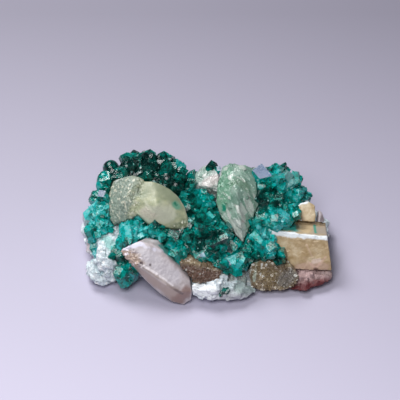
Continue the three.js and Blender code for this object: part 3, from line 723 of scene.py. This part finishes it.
def joined(meshes):
    """Several meshes as one."""
    points, faces, before = [], [], 0
    for mesh in meshes:
        points.append(points_of(mesh))
        faces.extend([before + corner for corner in face.vertices] for face in mesh.polygons)
        before += len(mesh.vertices)
    whole = bpy.data.meshes.new("joined")
    whole.from_pydata(np.concatenate(points), [], faces)
    return whole


def single_crystal(middle, look, way, radius):
    """One crystal, with the middle of a cap face at a place in mm, which looks one way while the crystal
    grows as nearly as it can another way."""
    look, way = Vector(look).normalized(), Vector(way)
    cap_lean = math.atan(CAP_DEPTH)
    side = (way - look * way.dot(look)).normalized()
    axis = look * math.cos(cap_lean) + side * math.sin(cap_lean)
    across = (look - axis * math.cos(cap_lean)).normalized()
    turn = Matrix((across, axis.cross(across), axis)).transposed()
    # As on a real crystal the corners stand unevenly far out, each still in the planes of its cap faces:
    # every other corner lies in one cap face and may swing aside, and the rest are where two faces meet.
    # The place in mm gives each crystal its own random numbers.
    chance = np.random.default_rng(round(1000 * abs(middle[0])))
    outs, swings = chance.uniform(0.75, 1.2, 6), chance.uniform(-0.25, 0.25, 6)
    tip = Vector((0, 0, 0))
    points = [tip]
    for foot in (False, True):
        for corner, (out, swing) in enumerate(zip(outs, swings)):
            shared = corner % 2 == 1
            angle = corner * WHOLE_TURN / 6 + (0 if shared else swing)
            off_face = WHOLE_TURN / 6 if shared else swing
            deep = CRYSTAL_LENGTH if foot else CAP_DEPTH * out * math.cos(off_face)
            points.append(Vector((out * math.cos(angle), out * math.sin(angle), -deep)))
    middle_of_face = Vector((0.5, 0, -CAP_DEPTH / 2))
    points = [Vector(middle) * MM + turn @ (point - middle_of_face) * radius * MM for point in points]
    faces = [(0, 6, 1, 2), (0, 2, 3, 4), (0, 4, 5, 6), tuple(range(12, 6, -1))]
    faces += [(1 + c, 7 + c, 7 + (c + 1) % 6, 1 + (c + 1) % 6) for c in range(6)]
    mesh = bpy.data.meshes.new("crystal")
    mesh.from_pydata(points, [], faces)
    return mesh


def rounded(mesh):
    """The same crystal, shorter, with its tip blunted and its edges rounded off."""
    blunting, length_kept = 0.5, 0.55
    tip, *ring = [vertex.co.copy() for vertex in mesh.vertices[:7]]
    mesh.vertices[0].co = tip.lerp(sum(ring, Vector()) / len(ring), blunting)
    for head, foot in zip(ring, mesh.vertices[7:]):
        foot.co = head.lerp(foot.co, length_kept)
    piece = placed("rounded", mesh)
    modifier = piece.modifiers.new("Round", "SUBSURF")
    modifier.levels = modifier.render_levels = 3
    return evaluated_mesh(piece)


def faces_of(names):
    """A search tree of some CAD nodes' faces."""
    work = bmesh.new()
    for name in names:
        work.from_mesh(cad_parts[name].data)
    tree = bvhtree.BVHTree.FromBMesh(work)
    work.free()
    return tree


def ready_bed(node, clearance, lowest):
    """A crust's CAD copy that knows which way its crystals grow and where they have room to."""
    bed = cad_copy(node)
    ways = vectors_of(bed.vertex_normals, "vector")
    for _ in range(3):
        ways = ways + neighbour_sums(bed, ways)
        ways /= np.linalg.norm(ways, axis=1, keepdims=True)
    attribute = bed.attributes.new("way", "FLOAT_VECTOR", "POINT")
    attribute.data.foreach_set("vector", ways.astype(np.float32).ravel())
    others = faces_of([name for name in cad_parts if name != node])
    # The block and the tooth behind it stand freer of crystals than the rest.
    freer, times_freer = faces_of(["calcite_block", "calcite_tooth"]), 2.5
    room = bed.attributes.new("room", "FLOAT", "FACE")
    for face in bed.polygons:
        free = others.find_nearest(face.center)[3] > clearance
        free = free and freer.find_nearest(face.center)[3] > times_freer * clearance
        overhung = face.normal.z < -0.5
        room.data[face.index].value = float(free and not overhung and face.center.z > lowest)
    return bed


def crust_tone(points):
    """How bright the crust is at points, from its main places."""
    tone = np.full(len(points), USUAL_TONE)
    for middle, reach, level in CRUST_TONES:
        away = np.linalg.norm(points / MM - np.array(middle), axis=1) / reach
        tone += (level - tone) * np.exp(-(away**2))
    return tone


def crust_piece(name, node, passes, lowest, singles=(), softer=()):
    """Makes a crust: its bed, the druse that passes over it leave, and single crystals, sharp and
    rounded."""
    between_crystals, least_edge = 0.34, math.radians(28)
    bed = cad_copy(node)
    tree = druse_tree()
    material = bpy.data.materials.get("Dioptase, glassy emerald") or dioptase_gem()
    druses = []
    for patchy, clearance, sizes in passes:
        ground = ready_bed(node, clearance, lowest)
        if patchy:
            thin_out(ground)
        else:
            keep_clear(ground, [*singles, *softer])
        druses.append(grown(tree, ground, {**sizes, "Finish": material}))
    crystals = [single_crystal(*single[:4]) for single in singles]
    crystals += [rounded(single_crystal(*single[:4])) for single in softer]
    mesh = joined([bed, *druses, *crystals])
    stained_and_painted(mesh, CRUST_STAINS_AND_HIGHLIGHTS, "FACE")
    tone = crust_tone(vectors_of(mesh.polygons, "center"))
    done = len(bed.polygons)
    for druse in druses:
        own = np.empty(len(druse.vertices), np.float32)
        druse.attributes["chance"].data.foreach_get("value", own)
        firsts = [face.vertices[0] for face in druse.polygons]
        tone[done : done + len(firsts)] += between_crystals * (own[firsts] - 0.5)
        done += len(firsts)
    stain_and_light = mesh.attributes["stain_and_light"].data
    for crystal, (*_, level, colour, share) in zip(crystals, [*singles, *softer]):
        tone[done : done + len(crystal.polygons)] = level
        if colour:
            # The first face is the one whose middle and look are given. Its film is mostly a painted
            # reflection or glint, and on a few crystals their own tint.
            stain_and_light[done].color = (*linear(colour)[:3], share)
        done += len(crystal.polygons)
    set_attribute(mesh, "tone", tone, "FACE")
    mesh.shade_smooth()
    mesh.set_sharp_from_angle(angle=least_edge)
    finished(name, mesh, material, node)


def keep_clear(bed, crystals):
    """Leaves the druse no room where single crystals stand, save at their edges."""
    share_of_radius, gap_in_mm = 0.75, 0.3
    room = bed.attributes["room"].data
    for face in bed.polygons:
        for middle, _, _, radius, *_ in crystals:
            reach = share_of_radius * radius + gap_in_mm
            if (face.center / MM - Vector(middle)).length < reach:
                room[face.index].value = 0.0


def thin_out(bed):
    """Leaves small crystals room only where the crust is bright, and in patches elsewhere."""
    least = 0.58
    middles = vectors_of(bed.polygons, "center")
    share = crust_tone(middles) + 0.5 * cloud_at(middles, 3 * MM, 3, 4.0)
    for face, value in zip(bed.polygons, share):
        if value < least:
            bed.attributes["room"].data[face.index].value = 0.0


# Settings that a user would change


def length(name, description, millimetres):
    """A property that holds a length."""
    values = {"default": millimetres * MM, "unit": "LENGTH", "precision": 5}
    return bpy.props.FloatProperty(name=name, description=description, **values)


class DioptaseSettings(bpy.types.PropertyGroup):
    """Sizes of the druse."""

    spacing: length("Spacing", "Least distance between crystals", 1.8)
    smallest: length("Smallest", "Smallest crystal's radius", 0.7)
    largest: length("Largest", "Largest crystal's radius", 1.7)
    sugar_spacing: length("Sugar spacing", "Least distance between the small crystals", 0.75)
    sugar_largest: length("Sugar", "Radius of the largest of the small crystals", 0.5)
    clearance: length("Clearance", "Distance from the rock and calcite where crystals start", 0.6)
    seed: bpy.props.IntProperty(name="Seed", description="Changes how the crystals fall", default=5)


class RockSettings(bpy.types.PropertyGroup):
    """Sizes of the rock's surface."""

    voxel: length("Skin", "Size of the faces on the rock", 0.3)
    lump: length("Lump", "Width of the rock's lumps", 4)
    relief: length("Relief", "Height of the rock's lumps", 0.28)
    step: length("Step", "Height of the rock's cleavage steps", 1.1)
    chip: length("Chip", "Width of the rock's cleavage grains", 1.7)
    foot: length("Foot", "Height to which the foot is drawn in", 2)


class CalciteSettings(bpy.types.PropertyGroup):
    """Sizes of the calcite crystals' surfaces."""

    voxel: length("Skin", "Size of the faces on the calcite", 0.17)
    chip: length("Chip", "Width of the chips on broken surfaces", 0.9)
    depth: length("Depth", "Depth of the chips", 0.2)
    # The bruised edges are painted pale, partly as a highlight.
    rim: length("Rim", "Width of the bruised edges", 0.3)


class StageSettings(bpy.types.PropertyGroup):
    """The camera and the floor."""

    distance: length("Distance", "From the camera to the middle of the picture", 420)
    height: bpy.props.FloatProperty(
        name="Height",
        description="The camera's angle above the floor",
        default=math.radians(45),
        subtype="ANGLE",
    )
    lens: bpy.props.FloatProperty(name="Lens", description="The camera's focal length in mm", default=158)
    floor: bpy.props.FloatVectorProperty(
        name="Floor", description="The floor's colour", default=linear("#CBC6DC")[:3], subtype="COLOR"
    )


# The pieces


class MatrixRock(bpy.types.Operator):
    """Adds the white calcite rock that everything stands on"""

    bl_idname = "dioptase.matrix_rock"
    bl_label = "Matrix Rock"

    def execute(self, context):
        size = context.scene.dioptase_rock
        turn_of_grain, share_of_steps, drawn_in, least_edge = (20, 35, 10), 0.6, 0.1, math.radians(12)
        mesh = even_skin(cad_copy("matrix_rock"), size.voxel)
        points, normals = points_of(mesh), vectors_of(mesh.vertex_normals, "vector")
        lumps = cloud_at(points, size.lump, 5)[:, None] * size.relief * normals
        steps = cleaved(points, cleavage_planes(turn_of_grain), size.step) - points
        # Neither the lumps nor the chips reach the flat underside.
        above = rising(points[:, 2], 0, 0.8 * MM)[:, None]
        moved = points + (lumps + share_of_steps * steps) * above
        set_points(mesh, moved)
        chipped(mesh, rising(moved[:, 2], 0.2 * MM, MM), size.chip, 0.2 * size.chip)
        # The foot is drawn in a little, so that the rock stands on a smaller face than its outline.
        moved = points_of(mesh)
        middle = moved.mean(axis=0)
        foot = 1 - rising(moved[:, 2], 0, size.foot)
        moved[:, :2] += (middle - moved)[:, :2] * (foot * drawn_in)[:, None]
        moved[:, 2] = np.maximum(moved[:, 2], 0)
        set_points(mesh, moved)
        stained_and_painted(mesh, ROCK_STAINS_AND_SHADE)
        mesh.shade_smooth()
        mesh.set_sharp_from_angle(angle=least_edge)
        finished("rock_surface", mesh, calcite_stone(), "matrix_rock")
        return {"FINISHED"}


class DioptaseCrust(bpy.types.Operator):
    """Adds the green crust and its druse of small crystals"""

    bl_idname = "dioptase.crust"
    bl_label = "Dioptase Crust"

    def execute(self, context):
        size = context.scene.dioptase_crust
        large = {"Spacing": size.spacing, "Smallest": size.smallest, "Largest": size.largest}
        large |= {"Least sunk": 0.72, "Most sunk": 0.9, "Lean": 0.7, "Seed": size.seed}
        sugar = {"Spacing": size.sugar_spacing, "Smallest": 0.4 * size.sugar_largest}
        sugar |= {"Largest": size.sugar_largest, "Least sunk": 0.65, "Most sunk": 0.85, "Seed": size.seed + 1}
        # Each pass is patchy or not, and has its clearance and sizes.
        passes = [(False, size.clearance, large), (True, 0.5 * size.clearance, sugar)]
        crust_piece("dioptase_druse", "dioptase_crust", passes, 1.5 * MM, SINGLE_CRYSTALS, ROUNDED_CRYSTALS)
        crust_piece("dioptase_speck_druse", "dioptase_speck", [(False, 0.0, sugar)], 0.5 * MM)
        return {"FINISHED"}


def calcite_mesh(node, size, stains_and_light, rounds, bruised):
    """A calcite crystal with an even skin, edges softened in rounds and its stains and painted light. Its rim
    attribute is 1 at the edges that are bruised, by a share that depends on the place in mm; the finish
    paints these edges pale, partly as a highlight."""
    flat = cad_copy(node)
    edges = sharp_edges(flat)
    mesh = even_skin(flat, size.voxel)
    points = points_of(mesh)
    away = np.full(len(points), 1.0)
    for start, end in edges:
        away = np.minimum(away, from_line(points, start, end))
    wander = 1 + 0.6 * cloud_at(points, 2 * MM, 3)
    set_attribute(mesh, "rim", (1 - rising(away, 0, 2 * size.rim * wander)) * bruised(*(points / MM).T))
    for _ in range(rounds):
        soften(mesh)
    stained_and_painted(mesh, stains_and_light)
    return mesh


def soften(mesh):
    """Moves each point halfway to the middle of its neighbours."""
    points = points_of(mesh)
    count = neighbour_sums(mesh, np.ones((len(points), 1)))
    set_points(mesh, (points + neighbour_sums(mesh, points) / count) / 2)


def worn(mesh):
    """Makes a surface gently uneven, and shades it smooth between its creases."""
    height, patch, least_edge = 0.06 * MM, 1.6 * MM, math.radians(30)
    points, normals = points_of(mesh), vectors_of(mesh.vertex_normals, "vector")
    set_points(mesh, points + cloud_at(points, patch, 4, 3.0)[:, None] * height * normals)
    mesh.shade_smooth()
    mesh.set_sharp_from_angle(angle=least_edge)


class PaleCalcite(bpy.types.Operator):
    """Adds the two pale crystals at the left, a broken one and a smooth one"""

    bl_idname = "dioptase.pale_calcite"
    bl_label = "Pale Calcite"

    def execute(self, context):
        size = context.scene.dioptase_calcite

        def right_end(x, y, z):
            return rising(x, -9.5, -6.5)

        mesh = calcite_mesh("calcite_left_pair", size, LEFT_PAIR_STAINS_AND_GLOW, 24, right_end)
        points = points_of(mesh) / MM
        x, y, _ = points.T
        # The broken crystal is left of a line where the two meet. The smooth one is chipped at its lower
        # corner too, and speckled a little beside the line.
        meeting = -16.4 + 0.23 * y
        broken = rising(meeting - x, -0.6, 0.6)
        corner = near_line(points, (-5.8, -3, 12), (-8, -4.2, 11.8), 0.8, 2.0)
        speckled = near_line(points, (-15, -1, 15.6), (-13, -2.6, 14.6), 0.8, 2.4)
        share = np.maximum(broken, np.maximum(corner, 0.35 * speckled))
        way = (0.3, -0.5, -0.8)
        chipped(mesh, share, 0.45 * size.chip, 0.6 * size.depth, bright=0.13, way=way, longer=1.6)
        worn(mesh)
        stops = [(0.3, "#9AA688"), (0.5, "#C0C3A0"), (0.7, "#DCDCBC")]
        name, inside = "Calcite, pale yellow-green", ("#CBD49C", 60)
        finish = calcite_crystal(
            name, stops, "#E6E6D2", roughness=0.3, crack_glint_share=0.35, clear=0.3, inside=inside
        )
        finished("pale_calcite_pair", mesh, finish, "calcite_left_pair")
        return {"FINISHED"}


class ClearCalcite(bpy.types.Operator):
    """Adds the clear crystals at the centre, the back and the front"""

    bl_idname = "dioptase.clear_calcite"
    bl_label = "Clear Calcite"

    def execute(self, context):
        size = context.scene.dioptase_calcite
        stops = [(0.3, "#7BA594"), (0.5, "#A0C2B2"), (0.7, "#C6DACF")]
        name, inside = "Calcite, clear with green light", ("#A4CDB0", 60)
        green = calcite_crystal(name, stops, "#EEF4EE", roughness=0.1, crack_glint_share=0.8, clear=0.45, inside=inside)
        stops = [(0.3, "#8FA9A0"), (0.5, "#B4C2BC"), (0.7, "#DADFDC")]
        name, inside = "Calcite, clear to milky", ("#CFE0D6", 40)
        white = calcite_crystal(
            name, stops, "#F4F3F0", roughness=0.15, crack_glint_share=0.5, clear=0.35, inside=inside
        )
        # Name, CAD node, finish, stains and painted glints, share that is chipped, how much longer chips are,
        # share that shines.
        makings = [
            ("centre_calcite", "calcite_centre", green, CENTRE_STAINS_AND_GLINTS, 0.8, 4.0, 0.12),
            ("back_calcite", "calcite_back", white, BACK_STAINS, 0.8, 1.2, 0.15),
            ("front_clear_calcite", "calcite_clear_front", white, [], 1.0, 1.2, 0.2),
        ]
        way = (0.55, -0.6, -0.6)
        for name, node, finish, stains_and_light, share, longer, bright in makings:
            mesh = calcite_mesh(node, size, stains_and_light, 2, lambda x, y, z: 0.0)
            chipped(mesh, share, size.chip, size.depth, bright, way, longer)
            worn(mesh)
            finished(name, mesh, finish, node)
        return {"FINISHED"}


class LongPrism(bpy.types.Operator):
    """Adds the long mauve crystal across the front"""

    bl_idname = "dioptase.long_prism"
    bl_label = "Long Prism"

    def execute(self, context):
        size = context.scene.dioptase_calcite
        mesh = calcite_mesh("calcite_long_prism", size, PRISM_STAINS_LIGHT_AND_SHADE, 3, lambda x, y, z: 0.5)
        points = points_of(mesh) / MM
        end = near_line(points, (-20.6, -10.8, 11.5), (-17, -12.9, 10.2), 1.2, 2.6)
        grainy = near_line(points, (-15, -11.7, 10.9), (-9, -14, 7), 1.6, 3.0)
        chipped(mesh, np.maximum(end, 0.14 * grainy), 0.5 * size.chip, size.depth, bright=0.14)
        worn(mesh)
        stops = [(0.3, "#988C8E"), (0.5, "#B4AAAC"), (0.7, "#CDC5C9")]
        finish = calcite_crystal("Calcite, frosted mauve", stops, "#EDE6EC", roughness=0.34, crack_glint_share=0.25)
        finished("long_prism", mesh, finish, "calcite_long_prism")
        return {"FINISHED"}


class TanCalcite(bpy.types.Operator):
    """Adds the tan rhomb and the two teeth behind it"""

    bl_idname = "dioptase.tan_calcite"
    bl_label = "Tan Calcite"

    def execute(self, context):
        size = context.scene.dioptase_calcite
        stops = [(0.3, "#A1865C"), (0.5, "#BBA37E"), (0.7, "#D4C3A4")]
        tan = calcite_crystal("Calcite, waxy tan", stops, "#F2F5F8", roughness=0.3, crack_glint_share=0.2)
        stops = [(0.3, "#7E7176"), (0.5, "#9A8E93"), (0.7, "#BDB2B6")]
        grey = calcite_crystal("Calcite, mauve tooth", stops, "#E9E6EE", roughness=0.35, crack_glint_share=0.3)
        makings = [
            ("tan_rhomb", "calcite_block", tan, "calcite_tan", RHOMB_STAINS_AND_HIGHLIGHTS, 1, lambda x, y, z: 0.0),
            ("tan_tooth", "calcite_tooth", tan, "calcite_tan", TOOTH_STAINS_LIGHT_AND_SHADE, 3, lambda x, y, z: x < 21.6),
            ("side_tooth", "calcite_side_tooth", grey, "calcite_mauve", [], 3, lambda x, y, z: 0.5),
        ]
        for name, node, finish, slot, stains_and_light, rounds, bruised in makings:
            mesh = calcite_mesh(node, size, stains_and_light, rounds, bruised)
            chipped(mesh, 0.2, 1.6 * size.chip, size.depth, bright=0.0)
            worn(mesh)
            finished(name, mesh, finish, node)
        return {"FINISHED"}


class BrownCalcite(bpy.types.Operator):
    """Adds the brown, broken crystals at the front"""

    bl_idname = "dioptase.brown_calcite"
    bl_label = "Brown Calcite"

    def execute(self, context):
        size = context.scene.dioptase_calcite
        stops = [(0.3, "#62523F"), (0.5, "#97846A"), (0.7, "#C2B296")]
        name, inside = "Calcite, smoky brown", ("#C2A070", 60)
        finish = calcite_crystal(name, stops, "#EEEDE4", roughness=0.1, crack_glint_share=0.4, clear=0.3, inside=inside)

        def left_edge(x, y, z):
            return np.exp(-((x - 9.6) ** 2))

        way = (0.4, -0.5, -0.7)
        for side in ("right", "front"):
            mesh = calcite_mesh("calcite_brown_" + side, size, BROWN_STAINS, 1, left_edge)
            chipped(mesh, 1.0, 0.6 * size.chip, 1.2 * size.depth, bright=0.05, way=way, longer=1.2)
            worn(mesh)
            finished("brown_calcite_" + side, mesh, finish, "calcite_brown_" + side)
        return {"FINISHED"}


class Stage(bpy.types.Operator):
    """Adds the floor, the soft light and the camera"""

    bl_idname = "dioptase.stage"
    bl_label = "Stage"

    def execute(self, context):
        scene, size = context.scene, context.scene.dioptase_stage
        # How far the floor reaches each way, in metres.
        reach = 2
        corners = [(-reach, -reach, 0), (reach, -reach, 0), (reach, reach, 0), (-reach, reach, 0)]
        mesh = bpy.data.meshes.new("floor")
        mesh.from_pydata(corners, [], [(0, 1, 2, 3)])
        floor = placed("floor", mesh)
        material, tree, shader, place = new_material("Paper, matt lavender", ior=1.45, roughness=0.6)
        # The paper has shade painted on it, darker towards its far end, between these places in metres, as
        # the lamps' light falls off.
        near_end, far_end, share_left = -0.07, 0.09, 0.47
        far = add(tree, "ShaderNodeSeparateXYZ", inputs={0: place}).outputs["Y"]
        far = add(tree, "ShaderNodeMapRange", inputs={0: far, 1: near_end, 2: far_end}).outputs[0]
        near, away = (*size.floor, 1), (*[share_left * part for part in size.floor], 1)
        mix = add(tree, "ShaderNodeMix", {"data_type": "RGBA"}, {0: far, 6: near, 7: away}).outputs[2]
        tree.links.new(mix, shader.inputs["Base Color"])
        mesh.materials.append(material)

        world = bpy.data.worlds.new("Studio")
        world.use_nodes = True
        light = world.node_tree.nodes["Background"].inputs
        light["Color"].default_value = linear("#E4E6F2")
        light["Strength"].default_value = 0.07
        scene.world = world
        # The lamps' places and width are in metres, and their power is in watts.
        width = 0.17
        lamps = [("back left", (-0.13, 0.16, 0.31), 1.15), ("front", (-0.05, -0.15, 0.28), 0.7)]
        for name, place, power in lamps:
            lamp = bpy.data.lights.new(name, "AREA")
            lamp.size = width
            lamp.energy = power
            carrier = placed(name, lamp)
            carrier.location = place
            carrier.rotation_euler = (-Vector(place)).to_track_quat("-Z", "Y").to_euler()

        # The middle of the picture, in the specimen.
        target = Vector((-2.35, 9.4, 8.0)) * MM
        back = Vector((0, -math.cos(size.height), math.sin(size.height)))
        lens = bpy.data.cameras.new("camera")
        lens.lens = size.lens
        lens.sensor_width = 36
        lens.clip_start = 0.01
        camera = placed("camera", lens)
        camera.location = target + back * size.distance
        camera.rotation_euler = (-back).to_track_quat("-Z", "Y").to_euler()
        scene.camera = camera
        scene.view_settings.view_transform = "Standard"
        return {"FINISHED"}


class SpecimenPanel(bpy.types.Panel):
    """Lists the pieces in the order that they are added"""

    bl_idname = "VIEW3D_PT_dioptase"
    bl_label = "Dioptase Specimen"
    bl_space_type = "VIEW_3D"
    bl_region_type = "UI"
    bl_category = "Dioptase"

    def draw(self, context):
        for group in SETTINGS:
            box = self.layout.box()
            values = getattr(context.scene, group)
            for name in values.bl_rna.properties.keys():
                if name not in ("rna_type", "name"):
                    box.prop(values, name)
        for piece in PIECES:
            self.layout.operator(piece.bl_idname)


SETTINGS = {
    "dioptase_crust": DioptaseSettings,
    "dioptase_rock": RockSettings,
    "dioptase_calcite": CalciteSettings,
    "dioptase_stage": StageSettings,
}
PIECES = [Stage, MatrixRock, DioptaseCrust, PaleCalcite, ClearCalcite, LongPrism, TanCalcite, BrownCalcite]


def register():
    """Makes the settings, the operators and the panel known to Blender."""
    for kind in [*SETTINGS.values(), *PIECES, SpecimenPanel]:
        bpy.utils.register_class(kind)
    for name, kind in SETTINGS.items():
        setattr(bpy.types.Scene, name, bpy.props.PointerProperty(type=kind))


def unregister():
    """Takes them away again."""
    for name in SETTINGS:
        delattr(bpy.types.Scene, name)
    for kind in reversed([*SETTINGS.values(), *PIECES, SpecimenPanel]):
        bpy.utils.unregister_class(kind)


def main():
    """Adds every piece in order."""
    register()
    for piece in PIECES:
        group, _, name = piece.bl_idname.partition(".")
        getattr(getattr(bpy.ops, group), name)()


if __name__ == "__main__":
    main()
